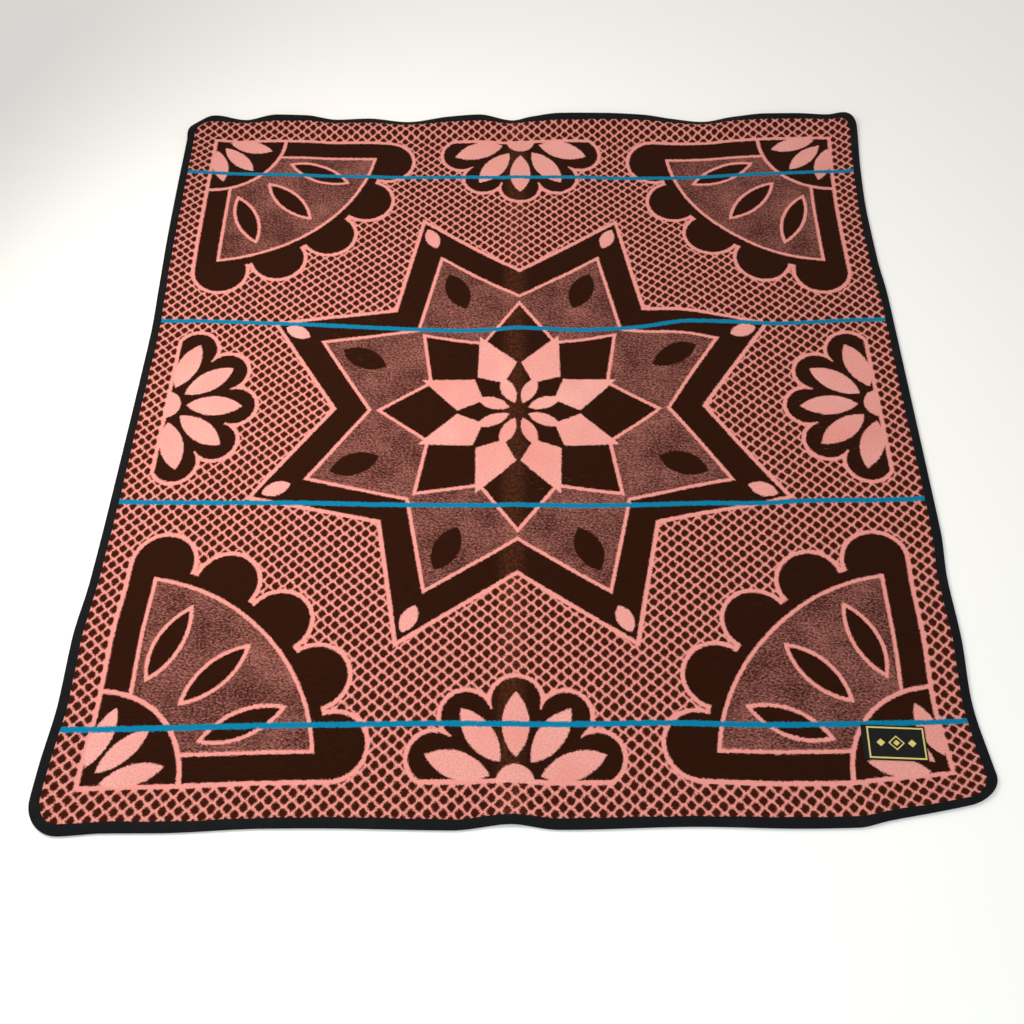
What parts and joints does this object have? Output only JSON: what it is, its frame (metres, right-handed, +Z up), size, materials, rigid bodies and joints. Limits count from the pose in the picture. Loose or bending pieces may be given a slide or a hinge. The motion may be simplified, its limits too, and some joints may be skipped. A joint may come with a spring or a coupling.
{
  "type": "basotho blanket laid out flat",
  "caption": "Thick woven wool blanket laid out flat, with rounded corners, low waves along its far edge, a folded braid binding and a sewn-on label.",
  "frame": {"origin": "middle of the blanket's outline, on the surface it lies on", "axes": "+X runs along the stripes to the side that carries the label, +Y across the stripes to the waved far edge, +Z is up from the surface"},
  "size_m": [1.5766, 1.6626, 0.0189],
  "materials": {
    "wool_cloth": "brushed woven wool, matte",
    "braid_tape": "ribbed braid tape, matte",
    "label_weave": "fine woven, slightly glossy"
  },
  "bodies": {
    "root": {"blanket_cloth": "wool_cloth", "edge_binding": "braid_tape", "woven_label": "label_weave"}
  },
  "joints": []
}
